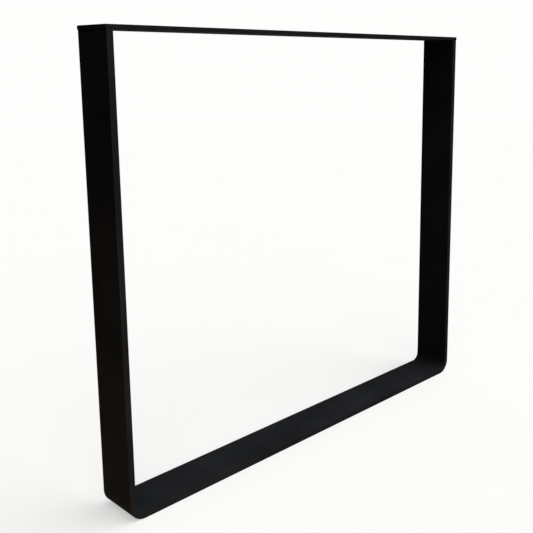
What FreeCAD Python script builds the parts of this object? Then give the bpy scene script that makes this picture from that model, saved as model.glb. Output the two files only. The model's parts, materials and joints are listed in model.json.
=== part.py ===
"""U-shaped table leg: a flat steel bar bent twice, closed across the top by a drilled mounting plate.

The plate lies on the ends of the two uprights and is held by a fillet weld in each inner corner.
All sizes are in millimetres. The origin is on the floor, under the middle of the leg.
+X runs along the width, +Y through the depth and +Z up. The leg is the same on its left and its right.
"""
import FreeCAD, Part
import os
from math import sqrt

from FreeCAD import Vector

# Overall size of the leg
LEG_WIDTH = 800.0            # across the outer faces of the two uprights
LEG_HEIGHT = 720.0           # from the floor to the top of the mounting plate

# Bent flat bar
BAR_WIDTH = 75.0             # broad side of the bar, which is the depth of the leg
BAR_THICKNESS = 10.0
BAR_EDGE_RADIUS = 1.0        # rolled arrises along the bar
BEND_INNER_RADIUS = 16.0     # on the inside of both bends

# Mounting plate, as deep as the bar and flush with it at front and back
PLATE_THICKNESS = 6.0
PLATE_OVERHANG = 1.0         # lip past the outer face of each upright
PLATE_EDGE_RADIUS = 0.8      # rolled arrises along the plate
PLATE_END_BREAK = 0.6        # deburred edge round each sawn end

# Screw holes in the plate: a pair near each end and a pair in the middle
HOLE_DIAMETER = 9.0          # clearance for an M8 bolt
HOLE_EDGE_BREAK = 0.5        # deburred rim at both faces
HOLE_END_DISTANCE = 81.0     # from each end of the plate to the nearest pair
HOLE_PAIR_SPACING = 45.0     # between the two holes of a pair, across the plate

# Fillet weld in each inner corner
WELD_LEG = 5.0               # along the upright and along the plate
WELD_BULGE = 0.6             # rise of the bead's middle above a flat face
WELD_SETBACK = 12.0          # from the front and back of the bar to the ends of the bead

# Places that follow from the sizes
upright_outer_x = LEG_WIDTH / 2
upright_inner_x = upright_outer_x - BAR_THICKNESS
plate_underside_z = LEG_HEIGHT - PLATE_THICKNESS
plate_end_x = upright_outer_x + PLATE_OVERHANG
hole_pair_x = plate_end_x - HOLE_END_DISTANCE
hole_row_y = HOLE_PAIR_SPACING / 2


def rolled_section(width, thickness, edge_radius):
    """Face of a rolled flat bar's section on the XY plane: thickness along X, width along Y."""
    blank = Part.makeBox(thickness, width, thickness, Vector(-thickness / 2, -width / 2, 0))
    arrises = [edge for edge in blank.Edges if abs(edge.tangentAt(0).z) > 0.5]
    bar = blank.makeFillet(edge_radius, arrises)
    return min(bar.Faces, key=lambda face: face.CenterOfMass.z)


def u_strap():
    """The bar's section swept down one upright, round a bend, along the floor and up the other upright."""
    half_thickness = BAR_THICKNESS / 2
    bend_radius = BEND_INNER_RADIUS + half_thickness
    upright_x = upright_outer_x - half_thickness
    floor_run_z = half_thickness
    bend_x = upright_x - bend_radius
    bend_z = floor_run_z + bend_radius
    bend_reach = bend_radius / sqrt(2)

    left_top = Vector(-upright_x, 0, plate_underside_z)
    left_bend_top = Vector(-upright_x, 0, bend_z)
    left_bend_middle = Vector(-bend_x - bend_reach, 0, bend_z - bend_reach)
    left_bend_foot = Vector(-bend_x, 0, floor_run_z)
    right_bend_foot = Vector(bend_x, 0, floor_run_z)
    right_bend_middle = Vector(bend_x + bend_reach, 0, bend_z - bend_reach)
    right_bend_top = Vector(upright_x, 0, bend_z)
    right_top = Vector(upright_x, 0, plate_underside_z)
    centre_line = Part.Wire([
        Part.makeLine(left_top, left_bend_top),
        Part.Arc(left_bend_top, left_bend_middle, left_bend_foot).toShape(),
        Part.makeLine(left_bend_foot, right_bend_foot),
        Part.Arc(right_bend_foot, right_bend_middle, right_bend_top).toShape(),
        Part.makeLine(right_bend_top, right_top),
    ])

    section = rolled_section(BAR_WIDTH, BAR_THICKNESS, BAR_EDGE_RADIUS).OuterWire
    section.translate(left_top)
    return centre_line.makePipeShell([section], True, False)


def drilled_hole(x, y):
    """What the drill and the deburring cutter take out of the plate at one hole, turned about +Z."""
    radius = HOLE_DIAMETER / 2
    rim_radius = radius + HOLE_EDGE_BREAK
    half_outline = Part.makePolygon([
        Vector(x, y, plate_underside_z),
        Vector(x + rim_radius, y, plate_underside_z),
        Vector(x + radius, y, plate_underside_z + HOLE_EDGE_BREAK),
        Vector(x + radius, y, LEG_HEIGHT - HOLE_EDGE_BREAK),
        Vector(x + rim_radius, y, LEG_HEIGHT),
        Vector(x, y, LEG_HEIGHT),
    ], True)
    return Part.Face(half_outline).revolve(Vector(x, y, 0), Vector(0, 0, 1), 360)


def top_plate():
    """A length of thinner flat bar, sawn off, deburred and drilled."""
    section = rolled_section(BAR_WIDTH, PLATE_THICKNESS, PLATE_EDGE_RADIUS)
    section.rotate(Vector(0, 0, 0), Vector(0, 1, 0), 90)
    section.translate(Vector(-plate_end_x, 0, plate_underside_z + PLATE_THICKNESS / 2))
    plate = section.extrude(Vector(2 * plate_end_x, 0, 0))

    sawn_ends = [face for face in plate.Faces if abs(face.CenterOfMass.x) > plate_end_x - PLATE_END_BREAK]
    plate = plate.makeChamfer(PLATE_END_BREAK, [edge for face in sawn_ends for edge in face.Edges])

    holes = [drilled_hole(x, y) for x in (-hole_pair_x, 0, hole_pair_x) for y in (-hole_row_y, hole_row_y)]
    return plate.cut(holes).Solids[0]


def right_weld():
    """Fillet weld under the plate on the right upright: a slightly crowned bead that runs out at both ends."""
    half_chord = WELD_LEG / sqrt(2)
    crown_radius = (half_chord ** 2 + WELD_BULGE ** 2) / (2 * WELD_BULGE)
    axis_depth = crown_radius - WELD_BULGE - half_chord
    run_out = sqrt(crown_radius ** 2 - axis_depth ** 2)
    half_length = BAR_WIDTH / 2 - WELD_SETBACK
    half_run = half_length - run_out

    corner = Vector(upright_inner_x, 0, plate_underside_z)
    axis = corner + Vector(1, 0, 1) * (axis_depth / sqrt(2))
    front_end = axis - Vector(0, half_run, 0)
    back_end = axis + Vector(0, half_run, 0)
    crown = Part.makeCylinder(crown_radius, 2 * half_run, front_end, Vector(0, 1, 0))
    crown = crown.fuse([Part.makeSphere(crown_radius, front_end), Part.makeSphere(crown_radius, back_end)])

    corner_space = Part.makeBox(WELD_LEG, 2 * half_length, WELD_LEG,
                                corner - Vector(WELD_LEG, half_length, WELD_LEG))
    return crown.common(corner_space).Solids[0]


def left_weld():
    """The right weld's mirror image across the middle of the leg."""
    return right_weld().mirror(Vector(0, 0, 0), Vector(1, 0, 0))


os.makedirs("parts", exist_ok=True)
for piece in (u_strap, top_plate, left_weld, right_weld):
    shape = piece()
    shape.exportStep("parts/" + piece.__name__ + ".step")
    print(piece.__name__, shape.ShapeType, "valid" if shape.isValid() else "not valid", round(shape.Volume), "mm3")
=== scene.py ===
# %% [markdown]
# # A U-shaped table leg
# The leg is one flat steel bar, bent at two corners, with a thinner plate welded across its open top and the
# whole of it powder-coated black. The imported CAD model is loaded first. It gives the sizes and places below,
# so each piece is drawn where it already is, in metres, and nothing has to be fitted afterwards.

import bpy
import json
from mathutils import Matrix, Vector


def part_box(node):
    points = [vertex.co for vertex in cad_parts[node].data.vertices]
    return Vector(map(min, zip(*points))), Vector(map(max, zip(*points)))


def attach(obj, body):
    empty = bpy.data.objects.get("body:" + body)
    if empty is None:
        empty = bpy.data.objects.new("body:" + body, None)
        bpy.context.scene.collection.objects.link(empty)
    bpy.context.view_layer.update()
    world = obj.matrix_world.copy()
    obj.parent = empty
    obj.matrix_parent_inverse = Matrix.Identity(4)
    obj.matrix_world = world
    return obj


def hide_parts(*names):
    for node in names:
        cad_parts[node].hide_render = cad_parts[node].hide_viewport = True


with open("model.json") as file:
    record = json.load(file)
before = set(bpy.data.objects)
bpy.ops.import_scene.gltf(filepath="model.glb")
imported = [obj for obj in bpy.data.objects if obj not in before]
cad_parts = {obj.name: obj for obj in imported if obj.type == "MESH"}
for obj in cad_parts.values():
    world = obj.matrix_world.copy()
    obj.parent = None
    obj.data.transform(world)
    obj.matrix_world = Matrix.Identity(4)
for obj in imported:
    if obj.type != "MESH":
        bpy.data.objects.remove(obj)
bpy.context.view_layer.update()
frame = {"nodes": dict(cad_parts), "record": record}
print("nodes:", sorted(frame["nodes"]))

# %% Read the sizes from the model
import json
from math import asin, cos, pi, radians, sin, sqrt

import bmesh
import bpy
from mathutils import Matrix, Vector

MM = 0.001
strap_low, strap_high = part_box("u_strap")
plate_low, plate_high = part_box("top_plate")
weld_low, weld_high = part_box("right_weld")
bar_width = strap_high.y - strap_low.y
bar_thickness = strap_high.x - weld_high.x     # the weld lies against the inner face of the right upright
plate_thickness = plate_high.z - plate_low.z
print(f"bar {bar_width / MM:.1f} x {bar_thickness / MM:.1f} mm, plate {plate_thickness / MM:.1f} mm thick")

# %% [markdown]
# ## The bent flat bar
# On the real leg this is one length of rolled bar, pressed round a former at both lower corners. It could be
# a long cube with loop cuts and a Simple Deform modifier, but its bends would stretch and thin. Here it is
# made as the workshop makes it: the section is drawn once, run down the left upright, spun round the first
# bend, run along the floor, spun again and run up the right upright. The rolled arrises come along with it.

# %% Draw the bar's section
bar_edge_radius = 1 * MM
ARRIS_SEGMENTS = 6


def rolled_section(bm, across, deep, edge_radius):
    """Draw a flat bar's rounded outline round the origin, across on X and deep on Y, and give its edges."""
    bmesh.ops.create_grid(bm, x_segments=1, y_segments=1, size=0.5)
    bmesh.ops.scale(bm, vec=(across, deep, 1), verts=bm.verts)
    bmesh.ops.bevel(bm, geom=bm.verts[:], offset=edge_radius, affect="VERTICES", segments=ARRIS_SEGMENTS,
                    profile=0.5, material=-1)
    bmesh.ops.delete(bm, geom=bm.faces[:], context="FACES_ONLY")
    return bm.edges[:]


bm = bmesh.new()
outline = rolled_section(bm, bar_thickness, bar_width, bar_edge_radius)
print(len(outline), "edges in the bar's section")

# %% Run it down, round and up
bend_inner_radius = 16 * MM
BEND_STEPS = 32

bend_radius = bend_inner_radius + bar_thickness
bend_x = strap_high.x - bend_radius
bend_z = strap_low.z + bend_radius
upright_x = strap_high.x - bar_thickness / 2
upright_run = strap_high.z - bend_z


def run(bm, outline, step):
    """Extrude an open outline along a step, and give the outline at the far end."""
    made = bmesh.ops.extrude_edge_only(bm, edges=outline)["geom"]
    ends = {item for item in made if isinstance(item, bmesh.types.BMVert)}
    bmesh.ops.translate(bm, verts=list(ends), vec=step)
    return [item for item in made if isinstance(item, bmesh.types.BMEdge) and ends.issuperset(item.verts)]


def bend(bm, outline, centre, axis, angle, steps):
    """Spin an open outline round a bend, and give the outline at the far end."""
    verts = {vert for edge in outline for vert in edge.verts}
    made = bmesh.ops.spin(bm, geom=list(verts) + outline, cent=centre, axis=axis, angle=angle, steps=steps)
    return [item for item in made["geom_last"] if isinstance(item, bmesh.types.BMEdge)]


bmesh.ops.translate(bm, verts=bm.verts, vec=(-upright_x, 0, strap_high.z))
outline = run(bm, outline, (0, 0, -upright_run))
outline = bend(bm, outline, (-bend_x, 0, bend_z), (0, 1, 0), -pi / 2, BEND_STEPS)
outline = run(bm, outline, (2 * bend_x, 0, 0))
outline = bend(bm, outline, (bend_x, 0, bend_z), (0, 1, 0), -pi / 2, BEND_STEPS)
run(bm, outline, (0, 0, upright_run))
bar_length = 2 * upright_run + 2 * bend_x + pi * (bend_radius - bar_thickness / 2)
print(f"the bar is {bar_length / MM:.0f} mm long along its middle, before it is bent")

# %% Close the bar
MERGE_DISTANCE = 0.001 * MM


def finish_piece(bm, name, node):
    """Close a bmesh, make it a smooth piece that stands for a CAD node, and let it ride on the leg."""
    bmesh.ops.remove_doubles(bm, verts=bm.verts, dist=MERGE_DISTANCE)
    bmesh.ops.recalc_face_normals(bm, faces=bm.faces)
    open_edges = [edge for edge in bm.edges if not edge.is_manifold]
    mesh = bpy.data.meshes.new(name)
    bm.to_mesh(mesh)
    bm.free()
    mesh.shade_smooth()
    mesh.calc_loop_triangles()
    piece = bpy.data.objects.new(name, mesh)
    bpy.context.scene.collection.objects.link(piece)
    piece.modifiers.new("flat faces stay flat", "WEIGHTED_NORMAL")
    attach(piece, "root")
    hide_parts(node)
    print(name, len(mesh.loop_triangles), "triangles,", len(open_edges), "open edges")
    return piece


bmesh.ops.holes_fill(bm, edges=bm.edges, sides=0)
bent_bar = finish_piece(bm, "bent_flat_bar", "u_strap")

# %% [markdown]
# ## The mounting plate
# This is a shorter length of thinner bar, sawn off, deburred at its ends and drilled for screws. Boolean
# cutters could drill it, but they leave long stray triangles on the broad faces. So both broad faces are
# lifted off, the wall of each hole is made as a small spool, and the faces are filled in again between the
# outline and the rims.

# %% Saw off the plate
plate_edge_radius = 0.8 * MM
plate_end_break = 0.6 * MM
DEBURR_SEGMENTS = 2

bm = bmesh.new()
outline = rolled_section(bm, plate_thickness, plate_high.y - plate_low.y, plate_edge_radius)
bmesh.ops.rotate(bm, verts=bm.verts, matrix=Matrix.Rotation(pi / 2, 3, "Y"))
bmesh.ops.translate(bm, verts=bm.verts, vec=(plate_low.x, 0, (plate_low.z + plate_high.z) / 2))
run(bm, outline, (plate_high.x - plate_low.x, 0, 0))
sawn_ends = bmesh.ops.holes_fill(bm, edges=bm.edges, sides=0)["faces"]
sawn_edges = list({edge for face in sawn_ends for edge in face.edges})
bmesh.ops.bevel(bm, geom=sawn_edges, offset=plate_end_break, affect="EDGES", segments=DEBURR_SEGMENTS,
                profile=0.5, material=-1)
print(f"plate {(plate_high.x - plate_low.x) / MM:.0f} mm long,", len(sawn_ends), "sawn ends deburred")

# %% Drill it and fill the broad faces
hole_edge_break = 0.5 * MM
HOLE_SEGMENTS = 48

mounts = {mount["name"]: mount["dims"] for mount in frame["record"]["mounts"]}
hole_pattern = mounts["corner_screw_holes"]
hole_radius = hole_pattern["hole_r_mm"] * MM
hole_x = hole_pattern["spacing_x_mm"] / 2 * MM
hole_y = hole_pattern["spacing_y_mm"] / 2 * MM
rim_radius = hole_radius + hole_edge_break
# Steps up the wall of a hole: how far each one rises, and the radius that it reaches
hole_wall = ((hole_edge_break, hole_radius), (plate_thickness - 2 * hole_edge_break, hole_radius),
             (hole_edge_break, rim_radius))

broad_faces = sorted(bm.faces, key=lambda face: face.calc_area())[-2:]
rims = {round(face.calc_center_median().z, 6): list(face.edges) for face in broad_faces}
bmesh.ops.delete(bm, geom=broad_faces, context="FACES_ONLY")
low_z, high_z = sorted(rims)
hole_places = [(x, y) for x in (-hole_x, 0, hole_x) for y in (-hole_y, hole_y)]
for x, y in hole_places:
    circle = bmesh.ops.create_circle(bm, segments=HOLE_SEGMENTS, radius=rim_radius,
                                     matrix=Matrix.Translation((x, y, low_z)))
    ring = list({edge for vert in circle["verts"] for edge in vert.link_edges})
    rims[low_z] += ring
    ring_radius = rim_radius
    for rise, next_radius in hole_wall:
        ring = run(bm, ring, (0, 0, rise))
        verts = list({vert for edge in ring for vert in edge.verts})
        growth = next_radius / ring_radius
        bmesh.ops.scale(bm, verts=verts, vec=(growth, growth, 1), space=Matrix.Translation((-x, -y, 0)))
        ring_radius = next_radius
    rims[high_z] += ring
for rim in rims.values():
    bmesh.ops.triangle_fill(bm, edges=rim, use_beauty=True)
print(len(hole_places), f"holes of {2 * hole_radius / MM:.0f} mm")
mounting_plate = finish_piece(bm, "mounting_plate", "top_plate")

# %% [markdown]
# ## The weld beads
# A fillet weld in each inner corner holds the plate to the uprights. A weld is laid down drop after drop, so
# it has crescent ripples about two millimetres apart, and it tails off at both ends. A bump texture could
# draw the ripples, but the bead is seen close up and from the side, so they are modelled. The bead's section
# is spun from one toe to the other, then carried along the corner in short steps. Each step is scaled about
# the corner line, so the ripples only lift the crown, and the two legs stay flat on the steel.

# %% Shape of a bead
weld_bulge = 0.6 * MM
ripple_pitch = 2.4 * MM
ripple_sweep = 1.3 * MM      # how far the middle of a crescent runs ahead of its toes
RIPPLE_LIFT = 0.09           # share of the bead's size that a ripple rises
SMALLEST_SECTION = 0.08      # share of the bead's size that is left at its two ends
CROWN_STEPS = 12
STEPS_PER_RIPPLE = 6

weld_leg = weld_high.x - weld_low.x
weld_length = weld_high.y - weld_low.y - ripple_sweep
half_chord = weld_leg / sqrt(2)
crown_radius = (half_chord ** 2 + weld_bulge ** 2) / (2 * weld_bulge)
crown_angle = 2 * asin(half_chord / crown_radius)
axis_depth = (crown_radius - weld_bulge - half_chord) / sqrt(2)
ripples = round(weld_length / ripple_pitch)


def bead_size(along):
    """Size of the bead's section at a place from 0 to 1 along it: round ends, and a crown in ripples."""
    tail = min(1, along * weld_length / weld_leg, (1 - along) * weld_length / weld_leg)
    rounding = sqrt(1 - (1 - tail) ** 2)
    drop = (along * ripples) % 1
    return max(SMALLEST_SECTION, rounding * (1 - RIPPLE_LIFT * drop ** 2))


print(f"each bead has legs of {weld_leg / MM:.1f} mm and {ripples} ripples")

# %% Lay the beads
TOE_COSINE = sqrt(0.5)       # a toe lies 45 degrees from the middle of the bead


def lay_bead(side, name, node):
    """Make the bead in the left (-1) or right (1) corner, under the plate and inside the upright."""
    corner = Vector((side * weld_high.x, 0, weld_high.z))
    middle = Vector((-side, 0, -1)).normalized()
    bm = bmesh.new()
    toe = bm.verts.new(corner - Vector((side * weld_leg, 0, 0)))
    axis_point = corner + Vector((side * axis_depth, 0, axis_depth))
    crown = bmesh.ops.spin(bm, geom=[toe], cent=axis_point, axis=(0, side, 0), angle=-crown_angle,
                           steps=CROWN_STEPS)
    other_toe = next(item for item in crown["geom_last"] if isinstance(item, bmesh.types.BMVert))
    for vert in bm.verts:
        towards_middle = (vert.co - corner).normalized().dot(middle)
        vert.co.y += ripple_sweep * (towards_middle - TOE_COSINE) / (1 - TOE_COSINE)
    root = bm.verts.new(corner)
    bm.edges.new((toe, root))
    bm.edges.new((root, other_toe))
    bmesh.ops.translate(bm, verts=bm.verts, vec=(0, weld_low.y, 0))

    outline = bm.edges[:]
    steps = ripples * STEPS_PER_RIPPLE
    size = 1
    for step in range(steps + 1):
        if step:
            outline = run(bm, outline, (0, weld_length / steps, 0))
        next_size = bead_size(step / steps)
        growth = next_size / size
        verts = list({vert for edge in outline for vert in edge.verts})
        bmesh.ops.scale(bm, verts=verts, vec=(growth, 1, growth), space=Matrix.Translation(-corner))
        size = next_size
    bmesh.ops.holes_fill(bm, edges=bm.edges, sides=0)
    return finish_piece(bm, name, node)


left_bead = lay_bead(-1, "left_weld_bead", "left_weld")
right_bead = lay_bead(1, "right_weld_bead", "right_weld")

# %% [markdown]
# ## Black powder coat on steel
# Powder coat is dry polyester paint, sprayed on with a charge and baked until it flows. It is about a tenth
# of a millimetre thick and lies over bar, plate and welds in one skin. This one is a fine-textured coat: it
# dries with a grain like very fine sandpaper on a faint orange peel. To the eye that is a deep, matt black
# that hardly mirrors anything. An image could be wrapped round the leg, but noises on Object coordinates need
# no unwrapping and keep their size on every piece. The Principled shader keeps a paint's usual IOR of 1.5.
# Its roughness is raised and its specular level lowered until its sides are as black as on the real leg. One
# slow noise clouds the tone, and two finer ones give the peel and the grain. The grain also paints its peaks
# a little lighter than its pits, as a painted glint.

# %% Colours and nodes
def linear(hex_colour):
    """Turn an sRGB hex colour into the linear RGBA that Blender's sockets take."""
    channels = [int(hex_colour[i:i + 2], 16) / 255 for i in (1, 3, 5)]
    return [c / 12.92 if c <= 0.04045 else ((c + 0.055) / 1.055) ** 2.4 for c in channels] + [1]


def add_node(tree, kind, sockets=(), stops=(), **settings):
    """Add a node with its properties and colour stops, and give its input sockets their values or links."""
    node = tree.nodes.new(kind)
    for name, value in settings.items():
        setattr(node, name, value)
    for index, (position, colour) in enumerate(stops):
        node.color_ramp.elements[index].position = position
        node.color_ramp.elements[index].color = linear(colour)
    for socket, source in dict(sockets).items():
        if isinstance(source, bpy.types.NodeSocket):
            tree.links.new(source, node.inputs[socket])
        else:
            node.inputs[socket].default_value = source
    return node


def new_material(name):
    """A material with an empty node tree, and that tree."""
    material = bpy.data.materials.new(name)
    material.use_nodes = True
    material.node_tree.nodes.clear()
    return material, material.node_tree


def per_mm(size_mm):
    """Noise scale, on Object coordinates in metres, for features of a size in millimetres."""
    return 1000 / size_mm


print("sRGB #808080 is", round(linear("#808080")[0], 3), "in linear light")

# %% Mix the powder coat
PEEL_MM = 5.0                # orange peel, about 3 mm on the real coat, drawn coarser so that it shows
GRAIN_MM = 1.2               # fine grain, about 0.4 mm on the real coat, drawn coarser so that it shows
CLOUD_MM = 90.0              # slow change of tone where the powder lay thicker
PEEL_HEIGHT = 0.25 * MM
GRAIN_HEIGHT = 0.4 * MM
PEEL_RANGE = (0.3, 0.7)      # nearly all of the peel's noise lies between these values
COAT_ROUGHNESS = (0.9, 1.0)
COAT_BLACKS = ((0.35, "#121315"), (0.65, "#222325"))

powder_coat, tree = new_material("black_powder_coat_on_steel")
place = add_node(tree, "ShaderNodeTexCoord").outputs["Object"]
cloud, peel, grain = (
    add_node(tree, "ShaderNodeTexNoise",
             {"Vector": place, "Scale": per_mm(size), "Detail": detail}).outputs["Fac"]
    for size, detail in ((CLOUD_MM, 3.0), (PEEL_MM, 2.0), (GRAIN_MM, 2.0)))

# Tone: slow clouds in the black, and a painted glint: the grain's peaks painted a little lighter than its pits
clouds_and_painted_glint = add_node(tree, "ShaderNodeMix", {"Factor": 0.5, "A": cloud, "B": grain})
tone = add_node(tree, "ShaderNodeValToRGB", {"Fac": clouds_and_painted_glint.outputs["Result"]}, stops=COAT_BLACKS)

# Surface: matt all over, a touch less so in the hollows of the peel, with the grain standing on the peel
gloss = add_node(tree, "ShaderNodeMapRange", {
    "Value": peel,
    "From Min": PEEL_RANGE[0], "From Max": PEEL_RANGE[1],
    "To Min": COAT_ROUGHNESS[0], "To Max": COAT_ROUGHNESS[1],
})
peel_bump = add_node(tree, "ShaderNodeBump", {"Height": peel, "Distance": PEEL_HEIGHT, "Strength": 0.6})
grain_bump = add_node(tree, "ShaderNodeBump", {"Height": grain, "Distance": GRAIN_HEIGHT, "Strength": 1.0,
                                               "Normal": peel_bump.outputs["Normal"]})
coat = add_node(tree, "ShaderNodeBsdfPrincipled", {
    "Base Color": tone.outputs["Color"],
    "Roughness": gloss.outputs["Result"],
    "IOR": 1.5,
    "Specular IOR Level": 0.03,
    "Normal": grain_bump.outputs["Normal"],
})
add_node(tree, "ShaderNodeOutputMaterial", {"Surface": coat.outputs["BSDF"]})
coated = (bent_bar, mounting_plate, left_bead, right_bead)
for piece in coated:
    piece.data.materials.append(powder_coat)
print(powder_coat.name, "on", ", ".join(piece.name for piece in coated))

# %% [markdown]
# ## The floor
# The leg stands on a plain pale floor that shows its soft shadow. White paint this close would throw so much
# light back at the leg that its dark sides turned grey. So the floor is white only where it is seen directly,
# by the camera, in a mirror or through glass, and the Light Path node tells those rays apart. Half of that
# white is lit paint, which takes the shadow, and half is a glow, which keeps the shadow faint. The light that
# the floor throws back onto the leg is painted: a dim brown, which keeps the leg's sides in painted shade, and
# a painted pool of warm light at the foot of the left upright.

# %% Mix the white that is seen
FLOOR_PATCH_MM = 400.0
FLOOR_WHITES = ((0.0, "#fdfaf5"), (1.0, "#fffcf7"))
BACKDROP_WHITE = "#fefefd"   # as white as the lit floor, so that no horizon shows
FLOOR_GLOW = 0.5             # share of the floor's white that is glow

floor_paint, tree = new_material("pale_floor_paint")
place = add_node(tree, "ShaderNodeTexCoord").outputs["Object"]
patch = add_node(tree, "ShaderNodeTexNoise",
                 {"Vector": place, "Scale": per_mm(FLOOR_PATCH_MM), "Detail": 4.0})
tone = add_node(tree, "ShaderNodeValToRGB", {"Fac": patch.outputs["Fac"]}, stops=FLOOR_WHITES)
paint = add_node(tree, "ShaderNodeBsdfDiffuse", {"Color": tone.outputs["Color"]})
glow = add_node(tree, "ShaderNodeEmission", {"Color": linear(BACKDROP_WHITE), "Strength": 1.0})
white = add_node(tree, "ShaderNodeMixShader", {"Fac": FLOOR_GLOW, 1: paint.outputs["BSDF"],
                                               2: glow.outputs["Emission"]})
print(f"{floor_paint.name}: {FLOOR_GLOW:.0%} of its white is glow")

# %% Mix the painted light that is thrown back: a dim brown, and a pool of warm light
# Painted light: a pool of warm bounce light round the foot of the left upright, and painted shade further out
PAINTED_POOL_MIDDLE = (-0.5, 0.0, 0.0)
PAINTED_POOL_BROWNS = ((0.3, "#ffc67a"), (0.6, "#302b25"))     # metres from the middle, and the colour there


def seen_directly(tree):
    """A factor that is 1 for what the camera sees, also in a mirror or glass, and 0 for bounced light."""
    ray = add_node(tree, "ShaderNodeLightPath").outputs
    seen = ray["Is Camera Ray"]
    for other in ("Is Glossy Ray", "Is Transmission Ray"):
        larger = add_node(tree, "ShaderNodeMath", {0: seen, 1: ray[other]}, operation="MAXIMUM")
        seen = larger.outputs["Value"]
    return seen


away = add_node(tree, "ShaderNodeVectorMath", {0: place, 1: PAINTED_POOL_MIDDLE}, operation="DISTANCE")
painted_light_pool = add_node(tree, "ShaderNodeValToRGB", {"Fac": away.outputs["Value"]}, stops=PAINTED_POOL_BROWNS)
bounce = add_node(tree, "ShaderNodeBsdfDiffuse", {"Color": painted_light_pool.outputs["Color"]})
either = add_node(tree, "ShaderNodeMixShader", {"Fac": seen_directly(tree), 1: bounce.outputs["BSDF"],
                                                2: white.outputs["Shader"]})
add_node(tree, "ShaderNodeOutputMaterial", {"Surface": either.outputs["Shader"]})
print(f"{floor_paint.name}: brown pool round x = {PAINTED_POOL_MIDDLE[0]} m,", len(tree.nodes), "nodes in all")

# %% Lay the floor
FLOOR_RADIUS = 8.0
FLOOR_SEGMENTS = 96


def stage_piece(bm, name, material):
    """Make a bmesh an object of its own, with one material, which isn't part of the leg."""
    mesh = bpy.data.meshes.new(name)
    bm.to_mesh(mesh)
    bm.free()
    mesh.materials.append(material)
    obj = bpy.data.objects.new(name, mesh)
    bpy.context.scene.collection.objects.link(obj)
    return obj


bm = bmesh.new()
bmesh.ops.create_circle(bm, cap_ends=True, segments=FLOOR_SEGMENTS, radius=FLOOR_RADIUS)
floor = stage_piece(bm, "floor", floor_paint)
print(floor.name, f"{2 * FLOOR_RADIUS:.0f} m across")

# %% [markdown]
# ## The flag
# Black paint shows what stands beside it. A photographer keeps it black with a flag, which is a dark cloth on
# a stand. This one stands beside the left upright, and only mirrored rays see it, so it casts no shadow and
# is never in the picture. Its colours are a painted reflection: a pale warm foot, as warm as the painted pool
# of light on the floor, and nearly black above, so that the left upright goes from a warm black at its foot
# to a deep black at its top.

# %% Put up the flag
FLAG_HEIGHT = 1.2
FLAG_LENGTH = 2.6
FLAG_MIDDLE = (-0.55, 1.1, 0.62)
# Painted reflection: the warm foot is mirrored as warm light low on the upright, the black top as shade
FLAG_PAINTED_REFLECTION = ((0.2, "#ffd08a"), (0.5, "#100e0d"))     # height in metres, and the colour there

flag_cloth, tree = new_material("painted_reflection_flag")
place = add_node(tree, "ShaderNodeTexCoord").outputs["Object"]
height = add_node(tree, "ShaderNodeSeparateXYZ", {"Vector": place}).outputs["Z"]
tone = add_node(tree, "ShaderNodeValToRGB", {"Fac": height}, stops=FLAG_PAINTED_REFLECTION)
cloth = add_node(tree, "ShaderNodeBsdfDiffuse", {"Color": tone.outputs["Color"]})
add_node(tree, "ShaderNodeOutputMaterial", {"Surface": cloth.outputs["BSDF"]})

bm = bmesh.new()
bmesh.ops.create_grid(bm, x_segments=1, y_segments=1, size=0.5)
bmesh.ops.scale(bm, vec=(FLAG_HEIGHT, FLAG_LENGTH, 1), verts=bm.verts)
bmesh.ops.rotate(bm, verts=bm.verts, matrix=Matrix.Rotation(pi / 2, 3, "Y"))
bmesh.ops.translate(bm, verts=bm.verts, vec=FLAG_MIDDLE)
flag = stage_piece(bm, "flag", flag_cloth)
flag.visible_camera = False
flag.visible_diffuse = False
flag.visible_shadow = False
print(flag.name, f"{FLAG_HEIGHT} m high, at x = {FLAG_MIDDLE[0]} m")

# %% [markdown]
# ## Light
# One very wide, soft light from above, in front and a little to the right lights the floor, the bar on the
# floor and the front edges evenly, and throws a faint shadow. Area lamps could do that, but a sun lamp with a
# wide angle has no hot spot and no place to find. The world is a white backdrop where it is seen directly. To
# the light that falls on the leg it is a dim, cool room that is dark on its left, so the top of the bar gets
# a blue-grey tone and the sides that face left stay black.

# %% Hang the lamp
KEY_ENERGY = 3.4             # with the room's light, a colour on the floor then renders as it is written
KEY_WIDTH = 90               # degrees
KEY_SHINES_ALONG = Vector((-0.2, 0.6, -0.77))

key = bpy.data.lights.new("key", "SUN")
key.energy = KEY_ENERGY
key.angle = radians(KEY_WIDTH)
key_lamp = bpy.data.objects.new("key", key)
key_lamp.rotation_mode = "QUATERNION"
key_lamp.rotation_quaternion = KEY_SHINES_ALONG.to_track_quat("-Z", "Y")
bpy.context.scene.collection.objects.link(key_lamp)
print("key lamp", round(key.energy, 2), "strong and", KEY_WIDTH, "degrees wide")

# %% Paint the room
ROOM_TONES = ((0.0, "#1c1a18"), (0.3, "#7f8894"))      # how far to the right, up to 1, and the colour there
ROOM_STRENGTH = 1.6

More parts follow.
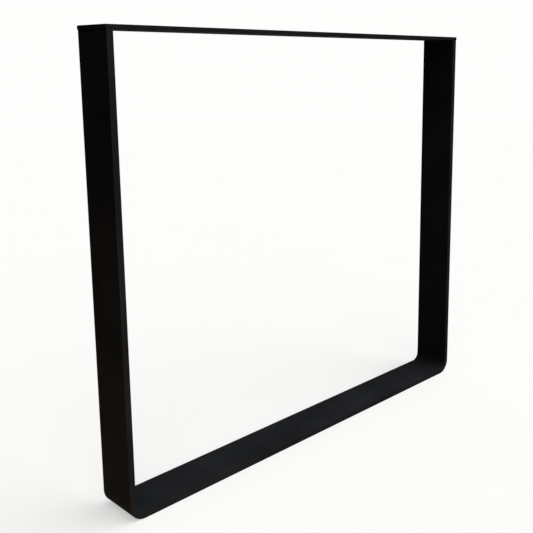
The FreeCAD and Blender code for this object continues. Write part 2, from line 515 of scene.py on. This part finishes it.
world = bpy.data.worlds.new("dim_cool_room")
world.use_nodes = True
tree = world.node_tree
tree.nodes.clear()
direction = add_node(tree, "ShaderNodeTexCoord").outputs["Generated"]
rightward = add_node(tree, "ShaderNodeSeparateXYZ", {"Vector": direction}).outputs["X"]
tone = add_node(tree, "ShaderNodeValToRGB", {"Fac": rightward}, stops=ROOM_TONES)
room = add_node(tree, "ShaderNodeBackground", {"Color": tone.outputs["Color"], "Strength": ROOM_STRENGTH})
backdrop = add_node(tree, "ShaderNodeBackground", {"Color": linear(BACKDROP_WHITE), "Strength": 1.0})
either = add_node(tree, "ShaderNodeMixShader", {"Fac": seen_directly(tree), 1: room.outputs["Background"],
                                                2: backdrop.outputs["Background"]})
add_node(tree, "ShaderNodeOutputWorld", {"Surface": either.outputs["Shader"]})
bpy.context.scene.world = world
bpy.context.scene.view_settings.view_transform = "Standard"
print(world.name, "at a strength of", ROOM_STRENGTH)

# %% [markdown]
# ## Camera
# The camera stands where the photograph was taken from: left of the leg, in front of it and a little below
# the height of the plate. The place, turn and lens were found from the straight edges of the leg. The lens
# axis isn't at the middle of the picture, as in a picture cut from a larger one, so the sensor is shifted by
# that much.

# %% Set up the camera
PICTURE_PX = 533
FOCAL_PX = 774.22
AXIS_PX = (331.17, 200.34)   # where the lens axis meets the picture
EYE = Vector((-950.69, -963.24, 671.62)) * MM
YAW = 0.75782                # radians from +X towards +Y
PITCH = 0.1778               # radians below the horizon

lens = bpy.data.cameras.new("camera")
lens.sensor_width = 36.0
lens.lens = FOCAL_PX / PICTURE_PX * lens.sensor_width
lens.shift_x = (PICTURE_PX / 2 - AXIS_PX[0]) / PICTURE_PX
lens.shift_y = (AXIS_PX[1] - PICTURE_PX / 2) / PICTURE_PX
camera = bpy.data.objects.new("camera", lens)
camera.location = EYE
camera.rotation_mode = "QUATERNION"
forward = Vector((cos(PITCH) * cos(YAW), cos(PITCH) * sin(YAW), -sin(PITCH)))
camera.rotation_quaternion = forward.to_track_quat("-Z", "Y")
bpy.context.scene.collection.objects.link(camera)
bpy.context.scene.camera = camera
print(f"lens {lens.lens:.2f} mm, shift {lens.shift_x:.4f} {lens.shift_y:.4f}")
